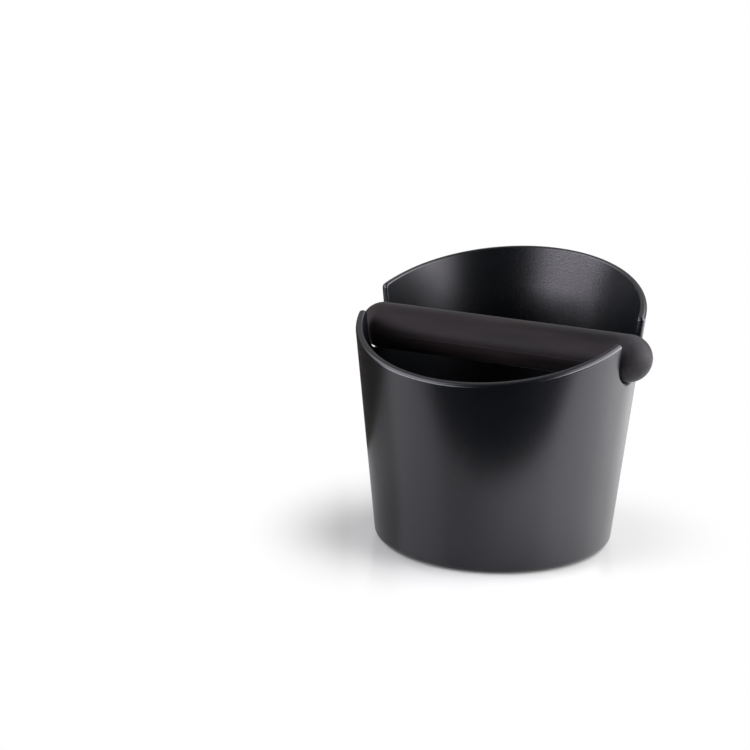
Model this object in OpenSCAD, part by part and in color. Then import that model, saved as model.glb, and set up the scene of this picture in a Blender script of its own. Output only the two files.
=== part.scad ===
// Espresso knock box: a tapered round tub with a slanted rim, a loose
// rubber-covered knock bar lying in two notches, and a non-slip base ring.
// Frame: origin at the centre of the base on the counter, +Z up,
// +X along the knock bar, -Y towards the low front lip.

/* [Container] */
// Outer radius of the tapered wall where it would meet the counter
base_r = 58.4; // [54:0.2:64]
// Outward lean of the wall from vertical, in degrees
wall_draft = 6.2; // [4:0.1:8]
// Wall thickness, measured horizontally
wall_t = 3.5; // [2.4:0.1:4]
// Thickness of the tub floor
floor_t = 3; // [2.4:0.1:4]
// Height of the rim plane above the counter at the bar
rim_height = 114; // [110:0.5:125]
// Slant of the rim plane, rising from front to back, in degrees
rim_tilt = 14.8; // [10:0.2:18]
// Outside radius along the bottom edge of the wall
base_round = 3.8; // [2.5:0.1:5]
// Inside radius between the wall and the floor
floor_round = 7; // [4:0.5:10]

/* [Notches] */
// Width of each U-shaped notch
notch_w = 24.6; // [24.2:0.2:32]
// Height of the bottom of each notch above the counter
notch_z = 88.4; // [84:0.2:92]
// Corner radius where a notch meets the rim
lip_round = 2.4; // [1:0.2:4]

/* [Knock bar] */
// Outside diameter of the rubber-covered bar
bar_d = 23; // [20:0.5:25]
// Overall length of the bar over its domed ends
bar_length = 152; // [148:1:170]
// How far the loose bar lies off centre, towards +X
bar_offset = 2.75; // [0:0.25:4]
// Gap between the resting bar and the notch bottom
bar_gap = 0.1; // [0.05:0.05:0.3]
// Diameter of the steel core
core_d = 12; // [8:0.5:14]
// Length of the steel core
core_length = 122; // [100:1:124]
// Clearance of the core in its covering, all round and at each end
core_clear = 0.03; // [0.02:0.01:0.06]
// Chamfer on each end of the steel core
core_chamfer = 1; // [0.5:0.1:2]

/* [Underside] */
// Gap between the tub's foot and the counter, filled by the base ring
foot_gap = 0.6; // [0.4:0.1:1]
// Depth of the recess under the floor, above the foot
recess_h = 3; // [2:0.2:4]
// Outer radius of the base ring
ring_r = 51; // [46:0.5:51.5]
// Radial width of the base ring
ring_w = 5; // [3:0.5:7]
// Edge chamfer of the base ring where it meets the counter
ring_chamfer = 0.5; // [0.2:0.1:0.8]
// Radial width of the rib that holds the base ring from inside
rib_w = 2; // [1.6:0.2:3]
// Radius of the round moulding boss at the middle of the underside
boss_r = 7; // [4:0.5:10]

/* [Hidden] */
$fn = 96;
revolve_fn = 180; // facets round the tub and base ring
tub_turn = 50;    // turn of the revolved tub about its axis, degrees

// Heights of the floor
floor_under = foot_gap + recess_h;
floor_top = floor_under + floor_t;

// Underside
ring_fit = 0.02;  // clearance between the base ring and the tub
rib_setback = 1;  // height of the rib's end above the foot
boss_h = 1.2;     // how far the boss hangs below the floor
ring_inner_r = ring_r - ring_w;
rib_outer_r = ring_inner_r - ring_fit;
rib_inner_r = rib_outer_r - rib_w;

// Notches and bar
notch_r = notch_w / 2;
notch_centre_z = notch_z + notch_r;
bar_r = bar_d / 2;
bar_z = notch_z + bar_gap + bar_r;

// Working sizes that let solids overlap and cuts pass right through
overlap = 0.01;
lip_overlap = 3 * overlap; // how far a lip's round passes its two faces
lip_margin = 0.5;          // how far lip waste passes into the slot and above the rim
overcut = 1;
blank_top = 150;           // top of the tub before the rim is cut
cut_reach = 100;           // half length of the cuts along X
rim_reach = 150;           // half width of the block cut off above the rim

// Half section of a tapered round solid from bottom up to top, whose bottom
// corner is rounded and whose wall has counter_r as its radius at the counter.
module taper_half(counter_r, bottom, top, corner_r) {
    lean = tan(wall_draft);
    centre_z = bottom + corner_r;
    centre_x = counter_r + centre_z * lean - corner_r / cos(wall_draft);
    // where the corner runs into the wall
    wall_x = centre_x + corner_r * cos(wall_draft);
    wall_z = centre_z - corner_r * sin(wall_draft);
    polygon([
        [0, bottom],
        [centre_x, bottom],
        [centre_x, centre_z],
        [wall_x, wall_z],
        [counter_r + top * lean, top],
        [0, top]
    ]);
    intersection() {
        translate([centre_x, centre_z]) circle(r = corner_r + overlap);
        polygon([
            [centre_x, bottom],
            [counter_r + bottom * lean, bottom],
            [wall_x, wall_z],
            [centre_x, centre_z]
        ]);
    }
}

// Waste under the tub between two radii, from below the foot up to depth above it.
module underside_cut(from_r, to_r, depth) {
    translate([from_r, foot_gap - overcut]) square([to_r - from_r, depth + overcut]);
}

module tub_section() {
    difference() {
        taper_half(base_r, foot_gap, blank_top, base_round);
        taper_half(base_r - wall_t, floor_top, blank_top + overcut, floor_round);
        // recess that holds the base ring
        underside_cut(rib_outer_r, ring_r + ring_fit, recess_h);
        // central recess, inside the rib, around the boss
        underside_cut(boss_r, rib_inner_r, recess_h);
        // the rib and boss stand back from the counter, the boss further
        underside_cut(-overcut, rib_outer_r, rib_setback);
        underside_cut(-overcut, boss_r + 0.5, recess_h - boss_h);
    }
}

// The block above the slanted rim plane.
module above_rim() {
    translate([0, 0, rim_height]) rotate([rim_tilt, 0, 0])
        translate([-rim_reach, -rim_reach, 0]) cube([2 * rim_reach, 2 * rim_reach, 100]);
}

// The U-shaped slot that both notches share, open at the top.
module notch_slot() {
    translate([-cut_reach, 0, notch_centre_z])
        rotate([0, 90, 0]) cylinder(r = notch_r, h = 2 * cut_reach);
    translate([-cut_reach, -notch_r, notch_centre_z]) cube([2 * cut_reach, notch_w, 100]);
}

// Waste beside the notch that leaves a rounded lip corner: side is -1 for the
// front lip and 1 for the back lip. Points are [y, z].
module lip_corner(side) {
    inset = lip_round - lip_overlap;
    y = side * (notch_r + inset);
    z = rim_height + tan(rim_tilt) * y - inset / cos(rim_tilt);
    slot_y = y - side * (lip_round + lip_margin);

    centre = [y, z];
    slot_low = [slot_y, z];
    slot_high = [slot_y, z + 2 * lip_round];
    rim_touch = centre + lip_round * [-sin(rim_tilt), cos(rim_tilt)];
    rim_above = rim_touch + [0, lip_margin];
    // both outlines run anticlockwise
    outline = side < 0
        ? [centre, slot_low, slot_high, rim_above, rim_touch]
        : [centre, rim_touch, rim_above, slot_high, slot_low];
    round_reach = cut_reach + 10;

    difference() {
        rotate([90, 0, 90]) translate([0, 0, -cut_reach])
            linear_extrude(2 * cut_reach) polygon(outline);
        translate([-round_reach, y, z])
            rotate([0, 90, 0]) cylinder(r = lip_round, h = 2 * round_reach);
    }
}

module container() {
    color([0.17, 0.17, 0.18])
    difference() {
        rotate([0, 0, tub_turn]) rotate_extrude($fn = revolve_fn) tub_section();
        above_rim();
        notch_slot();
        for (side = [-1, 1]) lip_corner(side);
    }
}

module base_ring() {
    ring_top = floor_under - ring_fit;
    color([0.08, 0.08, 0.085])
    rotate_extrude($fn = revolve_fn)
        polygon([
            [ring_inner_r + ring_chamfer, 0],
            [ring_r - ring_chamfer, 0],
            [ring_r, ring_chamfer],
            [ring_r, ring_top],
            [ring_inner_r, ring_top],
            [ring_inner_r, ring_chamfer]
        ]);
}

// Turns a half section drawn along Y into a solid round the bar's own axis.
module along_bar() {
    translate([bar_offset, 0, bar_z]) rotate([0, 90, 0]) rotate_extrude() children();
}

// Half section of the core, enlarged all round by clearance.
module core_half(clearance = 0) {
    radius = core_d / 2 + clearance;
    end = core_length / 2 + clearance;
    polygon([
        [0, -end],
        [radius - core_chamfer, -end],
        [radius, -end + core_chamfer],
        [radius, end - core_chamfer],
        [radius - core_chamfer, end],
        [0, end]
    ]);
}

module bar_core() {
    color([0.62, 0.63, 0.65])
    along_bar() core_half();
}

module bar_cover() {
    straight = bar_length - bar_d; // length between the domes' centres
    color([0.2, 0.19, 0.2])
    along_bar()
        difference() {
            intersection() {
                union() {
                    translate([-bar_r, -straight / 2]) square([bar_d, straight]);
                    for (end = [1, -1])
                        translate([0, end * straight / 2]) circle(r = bar_r);
                }
                // keeps the half on one side of the axis
                translate([0, -bar_length]) square([bar_d, 2 * bar_length]);
            }
            core_half(core_clear);
        }
}

container();
base_ring();
bar_core();
bar_cover();
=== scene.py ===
"""Looks of a knock box: a round tub with a slanted rim, a rubber-covered bar and a grip ring.

The tub stands on z = 0 with its axis on Z. Its walls widen upwards and its rim rises from the
front (-Y) to the back (+Y). The bar lies along X, in a notch at each side of the rim. The
ring sits under the base. Shapes are worked out in millimetres and built in metres.
"""

import math

import bpy
import numpy as np
from mathutils import Matrix, Vector


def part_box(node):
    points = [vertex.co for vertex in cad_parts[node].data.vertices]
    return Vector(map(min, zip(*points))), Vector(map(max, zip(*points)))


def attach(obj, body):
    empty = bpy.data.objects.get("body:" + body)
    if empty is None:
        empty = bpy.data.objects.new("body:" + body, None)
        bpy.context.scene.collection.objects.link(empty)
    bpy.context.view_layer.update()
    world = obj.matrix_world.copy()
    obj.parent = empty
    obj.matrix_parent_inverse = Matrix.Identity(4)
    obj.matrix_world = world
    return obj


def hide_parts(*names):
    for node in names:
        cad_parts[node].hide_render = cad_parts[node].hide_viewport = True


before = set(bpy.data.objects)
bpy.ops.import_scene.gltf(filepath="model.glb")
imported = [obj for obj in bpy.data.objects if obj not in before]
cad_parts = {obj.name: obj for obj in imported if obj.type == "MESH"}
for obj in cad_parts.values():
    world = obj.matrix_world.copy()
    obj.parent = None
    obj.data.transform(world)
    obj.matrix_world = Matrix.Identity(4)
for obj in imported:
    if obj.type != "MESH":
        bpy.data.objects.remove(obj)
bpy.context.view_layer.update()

MM = 0.001
rad = math.radians

# ---------------------------------------------------------------- measures, in millimetres
# Sizes that the CAD pieces can answer for are read from them.
tub_low = np.array(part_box("container")[0]) * 1000
bar_low, bar_high = (np.array(v) * 1000 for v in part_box("bar_cover"))
ring_high = np.array(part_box("base_ring")[1]) * 1000

# Tub wall: a cone, given by its radius at z = 0 and its draft from the vertical
DRAFT = rad(6.2)
TAN_D, COS_D, SIN_D = math.tan(DRAFT), math.cos(DRAFT), math.sin(DRAFT)
BASE_R, WALL_T = 58.4, 3.5
OUTER, INNER = 1, -1  # sides of the wall; also the sign of the normal's radial part
WALL_BASE_R = {OUTER: BASE_R, INNER: BASE_R - WALL_T}

# Tub floor, with the roundings between it and the walls
FOOT_Z = float(tub_low[2])
BOSS_Z, FLOOR_UNDER, FLOOR_TOP = 2.4, 3.6, 6.6
BASE_ROUND, FLOOR_ROUND = 3.8, 7.0
FLOOR_RINGS = (44.0, 36.0, 27.0, 18.0, 9.0, 2.0)
FAN_Z = 60.0  # above this height the columns fan out to follow the rim and the notches

# Rim plane: its height on the axis and its tilt
RIM_H, TILT = 114.0, rad(14.8)
TAN_T, COS_T, SIN_T = math.tan(TILT), math.cos(TILT), math.sin(TILT)
RIM_COLUMNS = 46  # from a notch corner to the middle of the lip
TURN_LENGTH, TURN_R = 16.0, 70.0  # the edge face turns radial over this length at this radius

# Notches for the bar, with the corners where they meet the rim
NOTCH_R, NOTCH_CZ, LIP_R = 12.3, 100.7, 2.4
CORNER_Y = NOTCH_R + LIP_R

# Edge rounding: outside along the rim, at the notch corners and under the bar; inside all round
EDGE_RIM, EDGE_CORNER, EDGE_NOTCH, EDGE_IN = 2.0, 1.8, 2.0, 0.95
EDGE_BLEND = 13.0  # length along Y from the corner's rounding to the rim's
EDGE_LOW_Z = 107.0  # below this the corner's rounding grows to the notch's

# Bar cover: a cylinder with hemispherical ends and a raised mould seam
BAR_R = float(bar_high[2] - bar_low[2]) / 2
BAR_X = float(bar_high[0] + bar_low[0]) / 2
BAR_Z = float(bar_high[2] + bar_low[2]) / 2
BAR_HALF = float(bar_high[0] - bar_low[0]) / 2
SEAM_ROLL = rad(8)  # the seam's plane, rolled from the horizontal about the bar
SEAM_W, SEAM_H = 0.27, 0.09

# Base ring, with grooves in its contact face
RING_RO = float(ring_high[0])
RING_RI = RING_RO - 5.0
RING_TOP = float(ring_high[2])
RING_COLUMNS = 240
GROOVES, GROOVE_PITCH, GROOVE_DEPTH = 3, 1.25, 0.35
GROOVE_MOUTH, GROOVE_BED = 0.3, 0.12  # half widths


# ---------------------------------------------------------------- mesh tools
# A row is a pair of arrays, points and normals, with one entry per column.
def unit(v):
    return v / np.linalg.norm(v, axis=-1, keepdims=True)


def slerp(a, b, t):
    angle = np.arccos(np.clip((a * b).sum(-1, keepdims=True), -1, 1))
    return (np.sin((1 - t) * angle) * a + np.sin(t * angle) * b) / np.sin(angle)


def soft_step(t):
    return t * t * (3 - 2 * t)


def add_object(name, mesh):
    ob = bpy.data.objects.new(name, mesh)
    bpy.context.scene.collection.objects.link(ob)
    return ob


def rows_mesh(name, rows, caps=None, offset=(0, 0, 0)):
    """Smooth mesh over rows whose columns close on themselves.

    caps holds the centre points and normals of fans on the first and last row. Without
    caps, the last row joins the first.
    """
    points = np.concatenate([row[0] for row in rows])
    normals = np.concatenate([row[1] for row in rows])
    cols = len(rows[0][0])
    here = np.arange(cols)
    after = (here + 1) % cols
    faces = []
    for r in range(len(rows) - 1 if caps else len(rows)):
        a, b = r * cols, (r + 1) % len(rows) * cols
        faces += np.stack([a + here, a + after, b + after, b + here], 1).tolist()
    if caps:
        first = np.full(cols, len(points))
        last = (len(rows) - 1) * cols
        faces += np.stack([first, after, here], 1).tolist()
        faces += np.stack([first + 1, last + here, last + after], 1).tolist()
        points = np.concatenate([points, caps[0]])
        normals = np.concatenate([normals, caps[1]])
    mesh = bpy.data.meshes.new(name)
    mesh.from_pydata(((points + np.array(offset)) * MM).tolist(), [], faces)
    mesh.polygons.foreach_set("use_smooth", np.ones(len(mesh.polygons), dtype=bool))
    mesh.update()
    mesh.normals_split_custom_set_from_vertices(normals.tolist())
    return add_object(name, mesh)


def turned_row(angles, r, z, normal_r, normal_z):
    """Level row about Z at radius r and height z."""
    cos, sin = np.cos(angles), np.sin(angles)
    points = np.stack([r * cos, r * sin, np.full(len(angles), z)], 1)
    normals = np.stack([normal_r * cos, normal_r * sin, np.full(len(angles), normal_z)], 1)
    return points, unit(normals)


def rounded_profile(corners):
    """Revolved profile with rounded corners, walked with the material on the left.

    corners are (r, z, rounding radius); the two ends stay sharp.
    Returns rows of (r, z, normal r, normal z).
    """
    points = np.array([corner[:2] for corner in corners])
    walk = unit(np.diff(points, axis=0))
    normals = np.stack([walk[:, 1], -walk[:, 0]], 1)
    profile = [(*points[0], *normals[0])]
    for i in range(1, len(corners) - 1):
        radius = corners[i][2]
        before, after = walk[i - 1], walk[i]
        side = 1 if before[0] * after[1] - before[1] * after[0] > 0 else -1
        turn = math.acos(max(-1, min(1, float(before @ after))))
        centre = points[i] - before * radius * math.tan(turn / 2) - side * normals[i - 1] * radius
        for t in np.linspace(0, 1, 5):
            n = slerp(normals[i - 1], normals[i], t)
            profile.append((*(centre + side * n * radius), *n))
    profile.append((*points[-1], *normals[-1]))
    return profile


# ---------------------------------------------------------------- the tub's wall
def wall_r(z, side):
    return WALL_BASE_R[side] + z * TAN_D


def wall_normal(theta, side):
    n = [np.cos(theta) * COS_D, np.sin(theta) * COS_D, np.full_like(theta, -SIN_D)]
    return side * np.stack(n, -1)


def straight_rows(angles, start, stop, count, side):
    """Level rows on the wall between two heights, without the ends."""
    return [
        turned_row(angles, wall_r(z, side), z, side * COS_D, -side * SIN_D)
        for z in np.linspace(start, stop, count)[1:-1]
    ]


def foot_round_rows(angles, centre_z, radius, arc, side):
    """Rows of the rounding between the wall and a level face below it."""
    centre_r = wall_r(centre_z, side) - radius / COS_D
    rows = []
    for a in arc:
        cos, sin = math.cos(a), math.sin(a)
        r, z = centre_r + radius * cos, centre_z + radius * sin
        rows.append(turned_row(angles, r, z, side * cos, side * sin))
    return rows


def fan_rows(contact, foot, side):
    """Rows on the wall from the edge rounding down to FAN_Z, where the columns stand at foot."""
    theta = np.arctan2(contact[:, 1], contact[:, 0])
    theta = theta + 2 * math.pi * np.round((foot - theta) / (2 * math.pi))
    step = np.linspace(0, 1, 25)[1:]
    rows = []
    for share in 0.3 * step + 0.7 * step**2:
        angle = theta + (foot - theta) * share
        z = contact[:, 2] + (FAN_Z - contact[:, 2]) * share
        r = wall_r(z, side)
        points = np.stack([r * np.cos(angle), r * np.sin(angle), z], 1)
        rows.append((points, wall_normal(angle, side)))
    return rows


# ---------------------------------------------------------------- the tub's edge path
# The edge face is ruled along X in the notches and at their corners. Along the rim it turns
# to run radially.
def rim_points(theta, side):
    """Points where the rim plane cuts the wall."""
    sin = np.sin(theta)
    r = (WALL_BASE_R[side] + TAN_D * RIM_H) / (1 - TAN_D * TAN_T * sin)
    return np.stack([r * np.cos(theta), r * sin, RIM_H + TAN_T * r * sin], -1)


def rim_run(corner_out, corner_in, lip):
    """Outer and inner rim points from a notch corner to the lip's middle, at angle lip."""
    start_out = math.atan2(corner_out[1], corner_out[0])
    start_in = math.atan2(corner_in[1], corner_in[0])
    step = np.linspace(0, 1, RIM_COLUMNS + 1)[1:]
    theta = start_out + (lip - start_out) * (0.35 * step + 0.65 * step**2)  # closer at the corner
    distance = np.abs(theta - start_out) * TURN_R
    ruled = soft_step(np.clip(1 - distance / TURN_LENGTH, 0, 1))
    theta_in = theta + (start_in - start_out) * ruled
    return rim_points(theta, OUTER), rim_points(theta_in, INNER)


def notch_profile():
    """Notch with both corners, front to back, as rows of (y, z, normal y, normal z)."""

    def arc(y, z, radius, start, stop, count, side):
        a = np.linspace(start, stop, count)
        cos, sin = np.cos(a), np.sin(a)
        return np.stack([y + radius * cos, z + radius * sin, side * cos, side * sin], 1)

    def upright(y, start, stop, count, facing):
        z = np.linspace(start, stop, count)[1:-1]
        return np.stack([np.full_like(z, y), z, np.full_like(z, facing), np.zeros_like(z)], 1)

    top = rad(90) + TILT
    front_z, back_z = (RIM_H + TAN_T * y - LIP_R / COS_T for y in (-CORNER_Y, CORNER_Y))
    return np.concatenate([
        arc(-CORNER_Y, front_z, LIP_R, top, 0, 15, 1),
        upright(-NOTCH_R, front_z, NOTCH_CZ, 7, 1.0),
        arc(0, NOTCH_CZ, NOTCH_R, rad(180), rad(360), 49, -1),
        upright(NOTCH_R, NOTCH_CZ, back_z, 15, -1.0),
        arc(CORNER_Y, back_z, LIP_R, rad(180), top, 13, 1),
    ])


def half_path():
    """Edge from the middle of the front lip, by the +X notch, to the middle of the back lip.

    Returns outer points, inner points, face normals and the columns' angles at FAN_Z.
    """
    profile = notch_profile()
    y, z = profile[:, 0], profile[:, 1]
    outer, inner = (
        np.stack([np.sqrt(wall_r(z, side) ** 2 - y**2), y, z], 1) for side in (OUTER, INNER)
    )
    front_out, front_in = rim_run(outer[0], inner[0], rad(-90))
    back_out, back_in = rim_run(outer[-1], inner[-1], rad(90))
    outer = np.concatenate([front_out[::-1], outer, back_out])
    inner = np.concatenate([front_in[::-1], inner, back_in])
    rim_normals = np.tile([0.0, -SIN_T, COS_T], (RIM_COLUMNS, 1))
    notch_normals = np.concatenate([np.zeros((len(profile), 1)), profile[:, 2:]], 1)
    normals = np.concatenate([rim_normals, notch_normals, rim_normals])

    # Angles grow with the length of the path, faster near the notch: from -90 to 0 degrees
    # in front of the notch bottom and from 0 to 90 behind it.
    steps = np.linalg.norm(np.diff(outer, axis=0), axis=1)
    length = np.concatenate([[0], np.cumsum(steps)])
    bottom = length[np.argmin(np.abs(outer[:, 1]) + 10 * (outer[:, 2] > 95))]
    share = np.where(
        length < bottom, length / bottom - 1, (length - bottom) / (length[-1] - bottom)
    )
    foot = np.sign(share) * np.abs(share) ** 0.8 * rad(90)
    return outer, inner, normals, foot


def full_path():
    """The half path, closed by its mirror image on the -X side."""
    *vectors, foot = half_path()
    mirror = np.array([-1.0, 1.0, 1.0])
    vectors = [np.concatenate([v, v[1:-1][::-1] * mirror]) for v in vectors]
    return *vectors, np.concatenate([foot, math.pi - foot[1:-1][::-1]])


def edge_radii(outer):
    """Outside rounding for every column of the edge path."""
    y, z = outer[:, 1], outer[:, 2]
    on_rim = z > RIM_H + TAN_T * y - 0.01
    away = soft_step(np.clip((np.abs(y) - CORNER_Y) / EDGE_BLEND, 0, 1))
    low = np.clip((EDGE_LOW_Z - z) / (EDGE_LOW_Z - NOTCH_CZ + NOTCH_R), 0, 1)
    rim = EDGE_CORNER + (EDGE_RIM - EDGE_CORNER) * away
    notch = EDGE_CORNER + (EDGE_NOTCH - EDGE_CORNER) * low
    return np.where(on_rim, rim, notch)[:, None]


def edge_round(points, face, radius, steps, side):
    """Rows of a rounding from the wall to the edge face with normals face."""
    wall = wall_normal(np.arctan2(points[:, 1], points[:, 0]), side)
    centre = points - radius * (wall + face) / (1 + (wall * face).sum(-1, keepdims=True))
    normals = [slerp(wall, face, t) for t in np.linspace(0, 1, steps)]
    return [(centre + radius * n, n) for n in normals]


# ---------------------------------------------------------------- container
# Underside from the middle outwards: a boss, a rib, a channel and the foot.
# Columns: r, z, rounding
UNDERSIDE = [
    (0.6, BOSS_Z, 0), (7.0, BOSS_Z, 0.5), (7.0, FLOOR_UNDER, 0.4),
    (43.98, FLOOR_UNDER, 0.4), (43.98, 1.6, 0.3), (45.98, 1.6, 0.3), (45.98, FLOOR_UNDER, 0.2),
    (51.02, FLOOR_UNDER, 0.2), (51.02, FOOT_Z, 0.25), (53.0, FOOT_Z, 0),
]


def build_container():
    outer, inner, face, foot = full_path()
    out_round = edge_round(outer, face, edge_radii(outer), 10, OUTER)
    in_round = edge_round(inner, face, EDGE_IN, 6, INNER)

    # underside, base rounding and outer wall, up to the edge
    rows = [turned_row(foot, *point) for point in rounded_profile(UNDERSIDE)]
    centre_z = FOOT_Z + BASE_ROUND
    arc = np.linspace(rad(-90), -DRAFT, 11)
    rows += foot_round_rows(foot, centre_z, BASE_ROUND, arc, OUTER)
    rows += straight_rows(foot, centre_z - BASE_ROUND * SIN_D, FAN_Z, 20, OUTER)
    rows += fan_rows(out_round[0][0], foot, OUTER)[::-1]
    rows += out_round

    # edge face between the two roundings
    start, stop = out_round[-1][0], in_round[-1][0]
    rows += [(start + (stop - start) * t, face) for t in (0.25, 0.5, 0.75)]

    # inner wall, floor rounding and floor
    rows += in_round[::-1]
    rows += fan_rows(in_round[0][0], foot, INNER)
    centre_z = FLOOR_TOP + FLOOR_ROUND
    rows += straight_rows(foot, FAN_Z, centre_z - FLOOR_ROUND * SIN_D, 16, INNER)
    arc = np.linspace(-DRAFT, rad(-90), 13)
    rows += foot_round_rows(foot, centre_z, FLOOR_ROUND, arc, INNER)
    rows += [turned_row(foot, r, FLOOR_TOP, 0, 1) for r in FLOOR_RINGS]

    caps = [[0, 0, BOSS_Z], [0, 0, FLOOR_TOP]], [[0, 0, -1.0], [0, 0, 1.0]]
    return rows_mesh("container_shell", rows, caps)


# ---------------------------------------------------------------- knock bar
def bar_profile():
    """Stations along the bar: x, radius, normal x, normal radial."""
    flat = BAR_HALF - BAR_R

    def end(centre, start, stop):
        return [
            (centre + BAR_R * math.sin(a), BAR_R * math.cos(a), math.sin(a), math.cos(a))
            for a in np.linspace(start, stop, 34)
        ]

    middle = [(x, BAR_R, 0.0, 1.0) for x in np.linspace(-flat, flat, 66)[1:-1]]
    return end(-flat, rad(-89), 0) + middle + end(flat, 0, rad(89))


def build_bar():
    # columns crowd at the seam, which runs along both sides of the bar
    crowded = np.array([0, 0.5, 1.0, 1.6, 2.3, 3.2, 4.4, 6.0])
    half = np.concatenate([crowded, np.arange(10, 174, 4), 180 - crowded[:0:-1]])
    turn = np.radians(np.concatenate([half, half + 180])) + SEAM_ROLL + math.pi
    cos, sin = np.cos(turn), np.sin(turn)
    across_seam = np.array([0.0, -math.sin(SEAM_ROLL), math.cos(SEAM_ROLL)])
    rows = []
    for x, r, normal_x, normal_r in bar_profile():
        distance = r * np.sin(turn - SEAM_ROLL)  # to the seam's plane
        height = SEAM_H * np.exp(-((distance / SEAM_W) ** 2))
        slope = -2 * distance / SEAM_W**2 * height
        normals = np.stack([np.full(len(turn), normal_x), normal_r * cos, normal_r * sin], 1)
        points = np.stack([np.full(len(turn), x), r * cos, r * sin], 1)
        points = points + normals * height[:, None]
        # tilt the normals by the ridge's slope
        across = across_seam - normals * (normals @ across_seam)[:, None]
        rows.append((points, unit(normals - across * slope[:, None])))
    tip = BAR_HALF + SEAM_H * 0.9
    caps = [[-tip, 0, 0], [tip, 0, 0]], [[-1.0, 0, 0], [1.0, 0, 0]]
    return rows_mesh("knock_bar_cover", rows, caps, offset=(BAR_X, 0, BAR_Z))


# ---------------------------------------------------------------- base ring
def build_ring():
    section = [(RING_RI, 0.0, 0.35)]
    for k in range(GROOVES):
        middle = RING_RI + (k + 1) * GROOVE_PITCH
        section += [
            (middle - GROOVE_MOUTH, 0.0, 0.1), (middle - GROOVE_BED, GROOVE_DEPTH, 0.06),
            (middle + GROOVE_BED, GROOVE_DEPTH, 0.06), (middle + GROOVE_MOUTH, 0.0, 0.1),
        ]
    section += [(RING_RO, 0.0, 0.45), (RING_RO, RING_TOP, 0.15), (RING_RI, RING_TOP, 0.15)]
    # a neighbour added at each end lets every corner of the closed section be rounded
    profile = rounded_profile([section[-1], *section, section[0]])[1:-1]
    angles = np.linspace(0, 2 * math.pi, RING_COLUMNS, endpoint=False)
    return rows_mesh("base_ring_grip", [turned_row(angles, *point) for point in profile])


# ---------------------------------------------------------------- node helper
class Nodes:
    """Node tree of a material (object coordinates, in metres) or of the world."""

    def __init__(self, block, output="OutputMaterial", coordinates="Object"):
        block.use_nodes = True
        self.tree = block.node_tree
        self.tree.nodes.clear()
        self.output = self.add(output)
        self.place = self.add("TexCoord").outputs[coordinates]

    def add(self, kind, inputs=None, **settings):
        """New node; inputs maps socket names or numbers to values or to sockets to link."""
        node = self.tree.nodes.new("ShaderNode" + kind)
        for name, value in settings.items():
            setattr(node, name, value)
        for key, value in (inputs or {}).items():
            socket = node.inputs[key]
            if isinstance(value, bpy.types.NodeSocket):
                self.tree.links.new(value, socket)
            elif socket.type == "RGBA":
                socket.default_value = (*value, 1.0)
            else:
                socket.default_value = value
        return node

    def surface(self, shader):
        self.tree.links.new(shader, self.output.inputs["Surface"])

    def axes(self):
        return self.add("SeparateXYZ", {0: self.place}).outputs

    def camera_ray(self):
        return self.add("LightPath").outputs["Is Camera Ray"]

    def noise(self, scale, detail, roughness=0.5, stretch=(1, 1, 1)):
        mapping = self.add("Mapping", {"Scale": stretch, "Vector": self.place})
        inputs = {"Scale": scale, "Detail": detail, "Roughness": roughness}
        inputs["Vector"] = mapping.outputs["Vector"]
        return self.add("TexNoise", inputs).outputs["Fac"]

    def ramp(self, value, span, to=(0.0, 1.0), smooth=False):
        """Map the range span of value on to the range to."""
        inputs = {"From Min": span[0], "From Max": span[1], "To Min": to[0], "To Max": to[1]}
        inputs["Value"] = value
        kind = "SMOOTHSTEP" if smooth else "LINEAR"
        return self.add("MapRange", inputs, interpolation_type=kind).outputs["Result"]

    def mix(self, mask, base, over):
        inputs = {"Factor": mask, 6: base, 7: over}
        return self.add("Mix", inputs, data_type="RGBA").outputs[2]

    def mix_shader(self, mask, base, over):
        return self.add("MixShader", {"Fac": mask, 1: base, 2: over}).outputs[0]

    def math(self, operation, *values):
        inputs = dict(enumerate(values))
        return self.add("Math", inputs, operation=operation).outputs["Value"]

    def times(self, value, factor):
        return self.math("MULTIPLY", value, factor)

    def vector(self, operation, *values, output="Vector"):
        inputs = dict(enumerate(values))
        return self.add("VectorMath", inputs, operation=operation).outputs[output]

    def scaled(self, vector, scale):
        inputs = {0: vector, "Scale": scale}
        return self.add("VectorMath", inputs, operation="SCALE").outputs["Vector"]

    def bump(self, height, distance, strength, normal=None):
        inputs = {"Distance": distance, "Strength": strength, "Height": height}
        if normal is not None:
            inputs["Normal"] = normal
        return self.add("Bump", inputs).outputs["Normal"]

    def principled(self, color, roughness, inputs):
        common = {"Base Color": color, "Roughness": roughness, "IOR": 1.5, "Coat Roughness": 0.2}
        return self.add("BsdfPrincipled", common | inputs).outputs["BSDF"]


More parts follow.
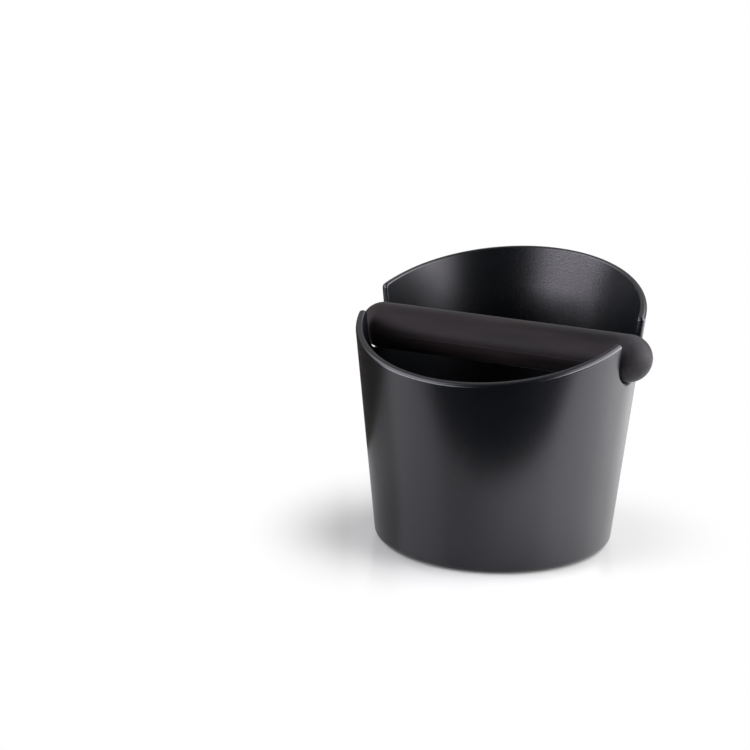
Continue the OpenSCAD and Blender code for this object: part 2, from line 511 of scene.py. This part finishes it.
# ---------------------------------------------------------------- materials
def satin_plastic():
    material = bpy.data.materials.new("satin_black_plastic")
    k = Nodes(material)
    cloud = k.noise(scale=22, detail=3, roughness=0.55)
    fine = k.noise(scale=900, detail=2)
    color = k.mix(
        k.ramp(cloud, span=(0.35, 0.68)),
        base=(0.0013, 0.0021, 0.0028), over=(0.0020, 0.0028, 0.0036),
    )
    specks = k.ramp(fine, span=(0.35, 0.75), to=(0.0, 0.35))
    color = k.mix(specks, base=color, over=(0.0036, 0.0042, 0.0052))
    # handling marks: faint short streaks, a little paler and less glossy
    streaks = k.noise(scale=60, detail=2, roughness=0.6, stretch=(1.0, 1.0, 0.25))
    marks = k.ramp(streaks, span=(0.62, 0.74), smooth=True)
    color = k.mix(k.times(marks, factor=0.10), base=color, over=(0.03, 0.029, 0.030))

    # the inside is more matte and coarser in grain; the radius, less the draft, tells the
    # two sides apart: 3 inside, 1 outside
    x, y, z = k.axes()
    radius = k.math("SQRT", k.math("ADD", k.times(x, x), k.times(y, y)))
    base_radius = k.math("SUBTRACT", radius, k.times(z, TAN_D))
    wall_span = ((BASE_R - 0.8 * WALL_T) * MM, (BASE_R - 0.2 * WALL_T) * MM)
    inside = k.ramp(base_radius, span=wall_span, to=(3.0, 1.0))
    rough = k.ramp(cloud, span=(0.3, 0.7), to=(0.225, 0.250))
    rough = k.math("ADD", rough, k.ramp(inside, span=(1.0, 3.0), to=(0.0, 0.065)))
    rough = k.math("ADD", rough, k.times(marks, factor=0.03))
    rough = k.math("ADD", rough, k.ramp(fine, span=(0.3, 0.7), to=(-0.02, 0.02)))

    grain = k.noise(scale=2000, detail=1)
    ripple = k.noise(scale=420, detail=2)
    coarse = k.times(k.noise(scale=1300, detail=1), k.math("SUBTRACT", inside, 1.0))
    normal = k.bump(grain, distance=0.000010, strength=0.5)
    normal = k.bump(coarse, distance=0.000021, strength=1.0, normal=normal)
    normal = k.bump(ripple, distance=0.000006, strength=0.25, normal=normal)
    k.surface(k.principled(color, rough, {
        "Specular IOR Level": 0.54, "Specular Tint": (0.945, 0.915, 1.0), "Normal": normal,
    }))
    return material


def matte_rubber():
    material = bpy.data.materials.new("matte_black_rubber")
    k = Nodes(material)
    streak = k.noise(scale=55, detail=3, roughness=0.6, stretch=(0.16, 1.0, 1.0))
    cloud = k.noise(scale=90, detail=3)
    color = k.mix(
        k.ramp(streak, span=(0.40, 0.68)),
        base=(0.0016, 0.0017, 0.0027), over=(0.0165, 0.0108, 0.0118),
    )
    patches = k.ramp(cloud, span=(0.4, 0.75), to=(0.0, 0.5))
    color = k.mix(patches, base=color, over=(0.0080, 0.0070, 0.0084))
    # the +X end is paler: a little dust, plus painted light on the end the right-hand lamps
    # light; the shaded -X end gets none
    dust_and_lit_end = k.ramp(k.axes()["X"], span=(0.058, 0.071), smooth=True)
    rub = k.noise(scale=420, detail=3, roughness=0.6, stretch=(1.0, 1.0, 0.16))
    rub = k.ramp(rub, span=(0.3, 0.7), to=(0.35, 1.0))
    color = k.mix(k.times(dust_and_lit_end, rub), base=color, over=(0.0262, 0.0248, 0.0280))
    rough = k.ramp(streak, span=(0.3, 0.7), to=(0.46, 0.56))
    grain = k.noise(scale=1700, detail=2, roughness=0.6)
    normal = k.bump(grain, distance=0.00002, strength=0.6)
    waves = k.noise(scale=260, detail=2)
    normal = k.bump(waves, distance=0.00005, strength=0.25, normal=normal)
    k.surface(k.principled(color, rough, {
        "Specular IOR Level": 0.15, "Specular Tint": (0.94, 0.92, 1.0),
        "Sheen Weight": 0.03, "Sheen Roughness": 0.45, "Normal": normal,
    }))
    return material


def grip_rubber():
    material = bpy.data.materials.new("grip_rubber")
    k = Nodes(material)
    cloud = k.noise(scale=140, detail=3, roughness=0.6)
    color = k.mix(
        k.ramp(cloud, span=(0.35, 0.7)),
        base=(0.0100, 0.0098, 0.0100), over=(0.0185, 0.0178, 0.0180),
    )
    dust = k.noise(scale=800, detail=2, roughness=0.6)
    dust = k.ramp(dust, span=(0.62, 0.76), to=(0.0, 0.35), smooth=True)
    color = k.mix(dust, base=color, over=(0.05, 0.047, 0.044))
    rough = k.ramp(cloud, span=(0.3, 0.7), to=(0.68, 0.82))
    grain = k.noise(scale=2200, detail=2, roughness=0.6)
    normal = k.bump(grain, distance=0.00003, strength=0.8)
    k.surface(k.principled(color, rough, {
        "Specular IOR Level": 0.35, "Sheen Weight": 0.1, "Normal": normal,
    }))
    return material


def brushed_steel():
    material = bpy.data.materials.new("brushed_steel")
    k = Nodes(material)
    brushing = k.noise(scale=300, detail=3, roughness=0.6, stretch=(4.0, 0.05, 0.05))
    cloud = k.noise(scale=60, detail=3)
    color = k.mix(
        k.ramp(brushing, span=(0.35, 0.65)),
        base=(0.46, 0.455, 0.45), over=(0.58, 0.575, 0.565),
    )
    stains = k.ramp(cloud, span=(0.55, 0.8), to=(0.0, 0.4))
    color = k.mix(stains, base=color, over=(0.40, 0.385, 0.365))
    rough = k.ramp(brushing, span=(0.3, 0.7), to=(0.24, 0.38))
    normal = k.bump(brushing, distance=0.00001, strength=0.6)
    k.surface(k.principled(color, rough, {
        "Metallic": 1.0, "Anisotropic": 0.4, "Normal": normal,
    }))
    return material


# ---------------------------------------------------------------- build the pieces
# Columns: builder, material, part it rides on, CAD piece it replaces, material slot
PIECES = [
    (build_container, satin_plastic, "tub", "container", "tub_plastic"),
    (build_bar, matte_rubber, "cover", "bar_cover", "bar_rubber"),
    (build_ring, grip_rubber, "tub", "base_ring", "base_rubber"),
]
for build, make_material, part, replaced, slot in PIECES:
    piece = build()
    piece.data.materials.append(make_material())
    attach(piece, part)
    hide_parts(replaced)

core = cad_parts["bar_core"]
core.data.materials.clear()
core.data.materials.append(brushed_steel())

# ---------------------------------------------------------------- stage, in metres
# A pale table. The lens sees it fade to plain white; the tub's gloss sees it end in the dark
# at TABLE_EDGE from the axis, towards the camera.
TABLE_HALF = 9.0
TABLE_EDGE, TABLE_EDGE_BLUR = 0.150, 0.006
TABLE_FADE = (0.062, 0.125)  # distances from the origin
TABLE_CAMERA_WASH = 0.92  # brightness of the table to the lens
TO_CAMERA = Vector((0.38, -0.925, 0)).normalized()
CARD_FROM, CARD_TO, CARD_HIGH = (-0.122, 0.088, 0.0), (-0.290, -0.110, 0.0), 0.125


def build_sheet(name, corners, material):
    mesh = bpy.data.meshes.new(name)
    mesh.from_pydata(corners, [], [(0, 1, 2, 3)])
    mesh.materials.append(material)
    return add_object(name, mesh)


def pale_floor():
    material = bpy.data.materials.new("pale_floor")
    k = Nodes(material)
    tone = k.noise(scale=3, detail=2)
    color = k.mix(tone, base=(0.83, 0.83, 0.83), over=(0.86, 0.86, 0.86))
    rough = k.ramp(k.noise(scale=40, detail=2), span=(0.3, 0.7), to=(0.10, 0.14))
    camera_ray = k.camera_ray()
    # all but the lens see the table darker on the left (-X) than on the right: painted shade on
    # the left, painted light on the right
    wash = k.ramp(k.axes()["X"], span=(0.004, 0.115), to=(0.69, 1.40), smooth=True)
    wash = k.times(wash, k.math("SUBTRACT", 1.0, camera_ray))
    wash = k.math("ADD", wash, k.times(camera_ray, TABLE_CAMERA_WASH))
    lit = k.principled(k.scaled(color, wash), rough, {
        "Emission Color": (1.0, 0.985, 0.98), "Emission Strength": 0.0,
    })

    forward = k.vector("DOT_PRODUCT", k.place, TO_CAMERA, output="Value")
    edge_span = (TABLE_EDGE - TABLE_EDGE_BLUR, TABLE_EDGE + TABLE_EDGE_BLUR)
    beyond = k.ramp(forward, span=edge_span, smooth=True)
    distance = k.vector("LENGTH", k.place, output="Value")
    fade = k.ramp(distance, span=TABLE_FADE, smooth=True)
    dark = k.add("BsdfDiffuse", {"Color": (0.006, 0.006, 0.007)}).outputs[0]
    white = k.add("Emission", {"Strength": 1.0}).outputs[0]
    beyond = k.times(beyond, k.math("SUBTRACT", 1.0, camera_ray))
    table = k.mix_shader(beyond, base=lit, over=dark)
    k.surface(k.mix_shader(k.times(fade, camera_ray), base=table, over=white))
    return material


def build_floor():
    s = TABLE_HALF
    corners = [(-s, -s, 0), (s, -s, 0), (s, s, 0), (-s, s, 0)]
    build_sheet("floor", corners, pale_floor())


def dull_card():
    material = bpy.data.materials.new("dull_card")
    k = Nodes(material)
    tone = k.noise(scale=30, detail=2)
    color = k.mix(tone, base=(0.070, 0.060, 0.052), over=(0.085, 0.072, 0.062))
    k.surface(k.principled(color, 0.9, {"Specular IOR Level": 0.2}))
    return material


def build_card():
    """A dull card, hidden from the lens, standing behind and to the left of the tub.

    It shades that side of the table and darkens the tub's left edge.
    """
    a, b, up = Vector(CARD_FROM), Vector(CARD_TO), Vector((0, 0, CARD_HIGH))
    corners = [tuple(corner) for corner in (a, b, b + up, a + up)]
    card = build_sheet("card", corners, dull_card())
    card.visible_camera = False


build_floor()
build_card()

# ---------------------------------------------------------------- world
# Softboxes as patches of the sky. Columns, angles in degrees:
# azimuth from +X, elevation, half width, half height, softness, strength, colour
BOXES = [
    (15, 7, 39, 15, 11, 10.2, (1.0, 0.995, 1.0)),
    (32, 44, 46, 20, 12, 4.4, (1.0, 0.995, 1.0)),
    (-132, 3, 31, 12, 11, 10.2, (1.0, 0.99, 1.02)),
    (-152, 40, 33, 20, 10, 4.2, (1.0, 0.99, 1.02)),
    (125, 42, 55, 26, 12, 0.55, (1.0, 1.0, 1.0)),
    (0, 82, 180, 10, 8, 0.4, (1.0, 1.0, 1.0)),
]
FILL = 0.015


def build_world():
    """The softboxes light the scene; the lens sees plain white."""
    world = bpy.data.worlds.new("studio")
    bpy.context.scene.world = world
    k = Nodes(world, output="OutputWorld", coordinates="Generated")
    x, y, z = k.axes()
    azimuth = k.math("ARCTAN2", y, x)
    elevation = k.math("ARCSINE", z)

    def window(offset, half, soft):
        span = (rad(half) + rad(soft), rad(half) - rad(soft))
        return k.ramp(k.math("ABSOLUTE", offset), span=span, smooth=True)

    total = None
    for box_azimuth, box_elevation, half_width, half_height, soft, strength, color in BOXES:
        across = 1.0  # a box that goes all the way round has no sides
        if half_width < 180:
            turn = k.math("SUBTRACT", azimuth, rad(box_azimuth))
            across = window(k.math("WRAP", turn, math.pi, -math.pi), half_width, soft)
        rise = k.math("SUBTRACT", elevation, rad(box_elevation))
        patch = k.times(across, window(rise, half_height, soft))
        glow = k.scaled(color, k.times(patch, strength))
        total = glow if total is None else k.vector("ADD", total, glow)
    total = k.vector("ADD", total, (FILL, FILL, FILL))
    lit = k.add("Background", {"Color": total}).outputs[0]
    seen = k.add("Background", {"Color": (1, 1, 1)}).outputs[0]
    k.surface(k.mix_shader(k.camera_ray(), base=lit, over=seen))


build_world()

# ---------------------------------------------------------------- camera
CAMERA_PLACE = (0.4289, -1.0434, 0.3998)
CAMERA_FORWARD = (-0.4126, 0.8693, -0.2720)
CAMERA_RIGHT = (0.9034, 0.4288, 0.0)  # before the roll
CAMERA_ROLL = 0.0178  # radians


def build_camera():
    data = bpy.data.cameras.new("camera")
    data.sensor_width = 36.0
    data.lens = 114.68
    data.clip_start = 0.05
    data.clip_end = 50.0
    camera = add_object("camera", data)
    forward = Vector(CAMERA_FORWARD).normalized()
    level = Vector(CAMERA_RIGHT).normalized()
    level = (level - forward * level.dot(forward)).normalized()
    upright = level.cross(forward).normalized()
    cos, sin = math.cos(CAMERA_ROLL), math.sin(CAMERA_ROLL)
    right = level * cos + upright * sin
    up = upright * cos - level * sin
    rotation = Matrix((right, up, -forward)).transposed().to_4x4()
    camera.matrix_world = Matrix.Translation(Vector(CAMERA_PLACE)) @ rotation
    bpy.context.scene.camera = camera


build_camera()

view = bpy.context.scene.view_settings
view.view_transform = "Standard"
view.look = "None"
view.exposure = 0.0
view.gamma = 1.0
